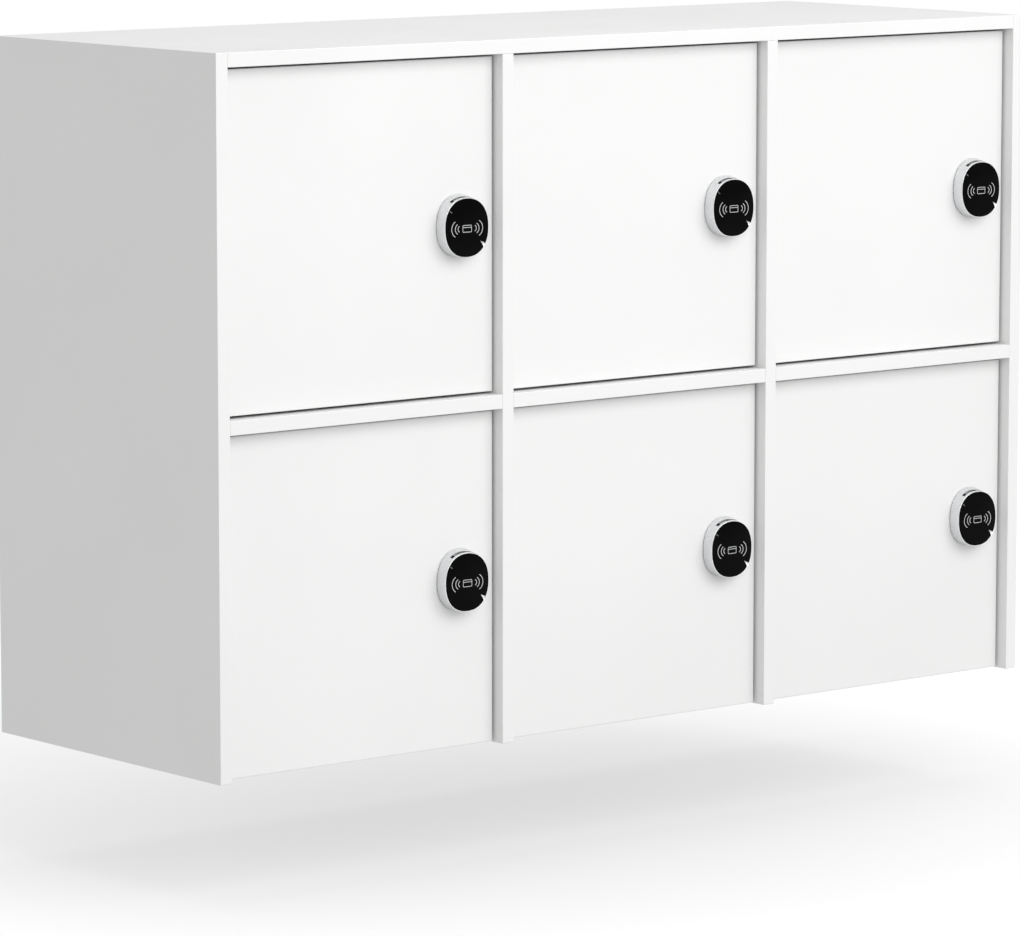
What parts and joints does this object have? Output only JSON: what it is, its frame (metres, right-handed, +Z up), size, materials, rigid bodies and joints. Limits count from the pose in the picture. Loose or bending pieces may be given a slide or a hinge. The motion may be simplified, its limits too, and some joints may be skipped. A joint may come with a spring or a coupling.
{
  "type": "locker top unit",
  "caption": "White board locker top unit with rows of inset hinged doors, each with an oval card lock on its front and a sliding dead bolt behind it.",
  "frame": {"origin": "bottom centre of the whole unit, on the plane it stands on", "axes": "+X to the viewer's right seen from the front, +Y towards the back panel, +Z up; the doors and locks face -Y"},
  "size_m": [1.2, 0.4214, 0.793],
  "materials": {
    "white_board": "satin white melamine-faced chipboard",
    "white_door": "satin white melamine-faced chipboard",
    "white_back_board": "smooth white lacquered hardboard",
    "zinc_fittings": "zinc plated",
    "nickel_steel": "nickel plated",
    "bolt_steel": "ground steel",
    "satin_chrome": "satin chrome",
    "black_face": "gloss black",
    "dark_plastic": "fine textured"
  },
  "bodies": {
    "carcass": {"side_panel_left": "white_board", "side_panel_right": "white_board", "top_panel": "white_board", "divider_left": "white_board", "divider_right": "white_board", "shelf_left": "white_board", "shelf_middle": "white_board", "shelf_right": "white_board", "floor_left": "white_board", "floor_middle": "white_board", "floor_right": "white_board", "back_panel": "white_back_board", "cam_housings": "zinc_fittings", "connecting_bolts": "zinc_fittings", "hinge_plates": "nickel_steel", "hinge_arms": "nickel_steel", "strike_plates": "nickel_steel", "carcass_screws": "zinc_fittings"},
    "lower_left_door_leaf": {"lower_left_door": "white_door", "lower_left_hinge_cups": "nickel_steel", "lower_left_door_screws": "zinc_fittings", "lower_left_lock_housing": "satin_chrome", "lower_left_lock_face": "black_face", "lower_left_lock_case": "dark_plastic"},
    "lower_left_dead_bolt": {"lower_left_lock_bolt": "bolt_steel"},
    "lower_middle_door_leaf": {"lower_middle_door": "white_door", "lower_middle_hinge_cups": "nickel_steel", "lower_middle_door_screws": "zinc_fittings", "lower_middle_lock_housing": "satin_chrome", "lower_middle_lock_face": "black_face", "lower_middle_lock_case": "dark_plastic"},
    "lower_middle_dead_bolt": {"lower_middle_lock_bolt": "bolt_steel"},
    "lower_right_door_leaf": {"lower_right_door": "white_door", "lower_right_hinge_cups": "nickel_steel", "lower_right_door_screws": "zinc_fittings", "lower_right_lock_housing": "satin_chrome", "lower_right_lock_face": "black_face", "lower_right_lock_case": "dark_plastic"},
    "lower_right_dead_bolt": {"lower_right_lock_bolt": "bolt_steel"},
    "upper_left_door_leaf": {"upper_left_door": "white_door", "upper_left_hinge_cups": "nickel_steel", "upper_left_door_screws": "zinc_fittings", "upper_left_lock_housing": "satin_chrome", "upper_left_lock_face": "black_face", "upper_left_lock_case": "dark_plastic"},
    "upper_left_dead_bolt": {"upper_left_lock_bolt": "bolt_steel"},
    "upper_middle_door_leaf": {"upper_middle_door": "white_door", "upper_middle_hinge_cups": "nickel_steel", "upper_middle_door_screws": "zinc_fittings", "upper_middle_lock_housing": "satin_chrome", "upper_middle_lock_face": "black_face", "upper_middle_lock_case": "dark_plastic"},
    "upper_middle_dead_bolt": {"upper_middle_lock_bolt": "bolt_steel"},
    "upper_right_door_leaf": {"upper_right_door": "white_door", "upper_right_hinge_cups": "nickel_steel", "upper_right_door_screws": "zinc_fittings", "upper_right_lock_housing": "satin_chrome", "upper_right_lock_face": "black_face", "upper_right_lock_case": "dark_plastic"},
    "upper_right_dead_bolt": {"upper_right_lock_bolt": "bolt_steel"}
  },
  "joints": [
    {"name": "lower_left_door_hinge", "type": "hinge", "parent": "carcass", "child": "lower_left_door_leaf", "pos_m": [-0.569, -0.18625, 0], "axis": [0, 0, -1], "range_deg": [0, 100]},
    {"name": "lower_left_bolt_slide", "type": "slide", "parent": "lower_left_door_leaf", "child": "lower_left_dead_bolt", "axis": [1, 0, 0], "range_m": [0, 0.012]},
    {"name": "lower_middle_door_hinge", "type": "hinge", "parent": "carcass", "child": "lower_middle_door_leaf", "pos_m": [-0.17433, -0.18625, 0], "axis": [0, 0, -1], "range_deg": [0, 100]},
    {"name": "lower_middle_bolt_slide", "type": "slide", "parent": "lower_middle_door_leaf", "child": "lower_middle_dead_bolt", "axis": [1, 0, 0], "range_m": [0, 0.012]},
    {"name": "lower_right_door_hinge", "type": "hinge", "parent": "carcass", "child": "lower_right_door_leaf", "pos_m": [0.22033, -0.18625, 0], "axis": [0, 0, -1], "range_deg": [0, 100]},
    {"name": "lower_right_bolt_slide", "type": "slide", "parent": "lower_right_door_leaf", "child": "lower_right_dead_bolt", "axis": [1, 0, 0], "range_m": [0, 0.012]},
    {"name": "upper_left_door_hinge", "type": "hinge", "parent": "carcass", "child": "upper_left_door_leaf", "pos_m": [-0.569, -0.18625, 0], "axis": [0, 0, -1], "range_deg": [0, 100]},
    {"name": "upper_left_bolt_slide", "type": "slide", "parent": "upper_left_door_leaf", "child": "upper_left_dead_bolt", "axis": [1, 0, 0], "range_m": [0, 0.012]},
    {"name": "upper_middle_door_hinge", "type": "hinge", "parent": "carcass", "child": "upper_middle_door_leaf", "pos_m": [-0.17433, -0.18625, 0], "axis": [0, 0, -1], "range_deg": [0, 100]},
    {"name": "upper_middle_bolt_slide", "type": "slide", "parent": "upper_middle_door_leaf", "child": "upper_middle_dead_bolt", "axis": [1, 0, 0], "range_m": [0, 0.012]},
    {"name": "upper_right_door_hinge", "type": "hinge", "parent": "carcass", "child": "upper_right_door_leaf", "pos_m": [0.22033, -0.18625, 0], "axis": [0, 0, -1], "range_deg": [0, 100]},
    {"name": "upper_right_bolt_slide", "type": "slide", "parent": "upper_right_door_leaf", "child": "upper_right_dead_bolt", "axis": [1, 0, 0], "range_m": [0, 0.012]}
  ]
}
